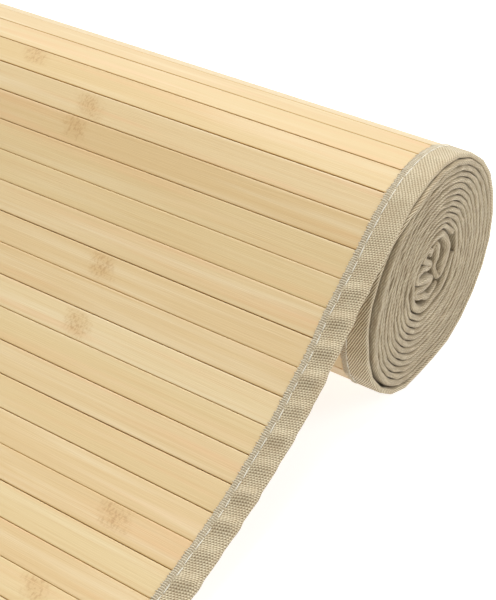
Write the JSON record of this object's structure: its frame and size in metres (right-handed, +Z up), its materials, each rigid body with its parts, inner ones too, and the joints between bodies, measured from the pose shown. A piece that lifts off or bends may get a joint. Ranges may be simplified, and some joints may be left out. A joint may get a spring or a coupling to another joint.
{
  "type": "bamboo rug",
  "caption": "Bamboo slat runner bound with woven tape, rolled up slat face outwards, its loose end sagging from the roll to the floor.",
  "frame": {"origin": "on the floor, in the middle of the rug's outline as it lies", "axes": "+Z up; +X along the slats, across the rug's width; +Y from the loose end towards the roll"},
  "size_m": [0.8, 0.5158, 0.1321],
  "materials": {
    "bamboo": "satin",
    "tape": "woven"
  },
  "bodies": {
    "root": {"slat_panel_roll": "bamboo", "slat_panel_loose_end": "bamboo", "binding_loose_right": "tape", "binding_loose_left": "tape", "binding_roll_right": "tape", "binding_roll_left": "tape", "binding_core_right": "tape", "binding_core_left": "tape", "binding_front": "tape"}
  },
  "joints": []
}
